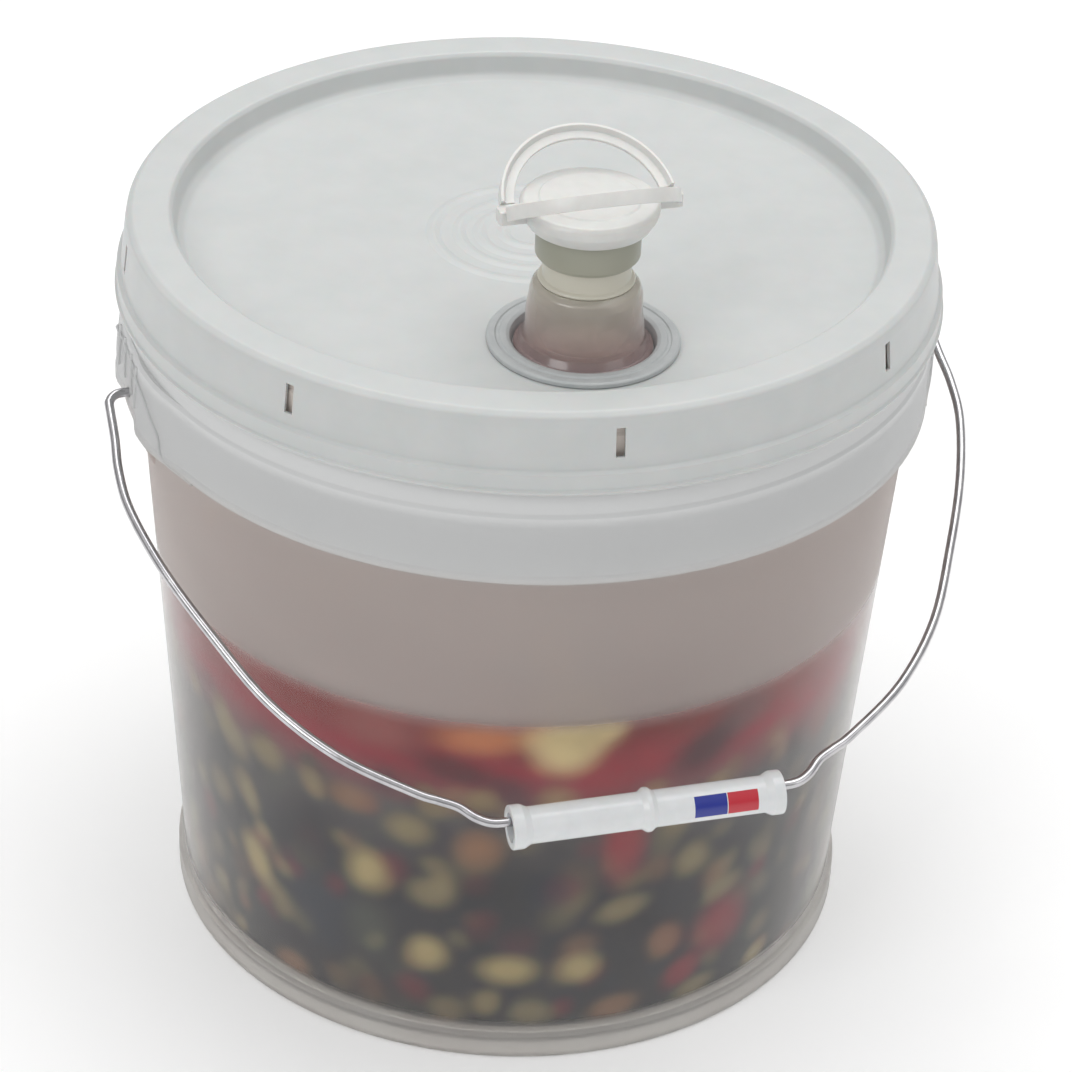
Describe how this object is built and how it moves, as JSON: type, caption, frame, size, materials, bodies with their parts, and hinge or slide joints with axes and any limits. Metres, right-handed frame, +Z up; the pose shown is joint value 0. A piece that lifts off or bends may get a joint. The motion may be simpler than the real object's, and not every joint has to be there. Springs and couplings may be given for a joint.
{
  "type": "fermenting bucket",
  "caption": "Translucent plastic fermenting pail with a press-on tabbed lid, a pull-up pouring spout with screw cap and folding pull rings, and a wire bail with a plastic hand grip.",
  "frame": {"origin": "on the floor, in the middle of the whole footprint; the pail's own axis stands at x -6.95 mm, y +17.33 mm because the bail stands forward", "axes": "+Z up along the pail's axis; -Y is the front, the side the raised bail leans to and the spout is nearest to"},
  "size_m": [0.3167, 0.337, 0.3506],
  "materials": {
    "natural_hdpe": "uncoloured, translucent, satin as moulded",
    "white_hdpe_lid": "cool white, satin as moulded",
    "foamed_rubber": "dull foamed-in gasket",
    "clear_polyethylene": "translucent, smooth",
    "spout_seal_rubber": "dull flat washer",
    "flexible_polyethylene": "translucent, soft and smooth",
    "translucent_polyethylene": "translucent, smooth",
    "foam_liner": "closed foam disc",
    "white_hdpe_cap": "opaque white, semi gloss",
    "galvanised_steel": "bright drawn and galvanised wire",
    "white_polypropylene": "opaque white, semi gloss"
  },
  "bodies": {
    "pail": {"pail": "natural_hdpe"},
    "lid": {"lid": "white_hdpe_lid", "lid_gasket": "foamed_rubber", "spout_base": "clear_polyethylene", "spout_seal": "spout_seal_rubber", "spout_bell": "flexible_polyethylene"},
    "spout_neck": {"spout_neck": "translucent_polyethylene"},
    "cap_liner": {"cap_liner": "foam_liner"},
    "spout_cap": {"spout_cap": "white_hdpe_cap"},
    "pull_ring_front": {"pull_ring_front": "white_hdpe_cap"},
    "pull_ring_rear": {"pull_ring_rear": "white_hdpe_cap"},
    "bail": {"bail_wire": "galvanised_steel"},
    "bail_grip": {"bail_grip": "white_polypropylene"}
  },
  "joints": [
    {"name": "lid_lift", "type": "slide", "parent": "pail", "child": "lid", "axis": [0, 0, 1], "range_m": [0, 0.12]},
    {"name": "spout_retract", "type": "slide", "parent": "lid", "child": "spout_neck", "axis": [0, 0, 1], "range_m": [-0.046, 0], "deforming": ["spout_bell"]},
    {"name": "cap_lift", "type": "slide", "parent": "spout_neck", "child": "cap_liner", "axis": [0, 0, 1], "range_m": [0, 0.0042]},
    {"name": "cap_twist", "type": "hinge", "parent": "cap_liner", "child": "spout_cap", "pos_m": [0.01244, -0.06017, 0.33], "axis": [0, 0, 1], "range_deg": [0, 360]},
    {"name": "pull_front_fold", "type": "hinge", "parent": "spout_cap", "child": "pull_ring_front", "pos_m": [0.01343, -0.06321, 0.3344], "axis": [-0.9516, -0.3074, 0], "range_deg": [-31.5, 55]},
    {"name": "pull_rear_fold", "type": "hinge", "parent": "spout_cap", "child": "pull_ring_rear", "pos_m": [0.01146, -0.05712, 0.3344], "axis": [0.9516, 0.3074, 0], "range_deg": [-31.5, 55]},
    {"name": "bail_swing", "type": "hinge", "parent": "pail", "child": "bail", "pos_m": [-0.00695, 0.01733, 0.2297], "axis": [-0.9598, -0.2807, 0], "range_deg": [-14.5, 246.5]},
    {"name": "grip_roll", "type": "hinge", "parent": "bail", "child": "bail_grip", "pos_m": [0.04123, -0.14744, 0.14337], "axis": [0.9598, 0.2807, 0], "continuous": true}
  ],
  "couplings": [
    {"joint": "cap_lift", "follows": "cap_twist", "m_per_rad": 0.000668}
  ]
}
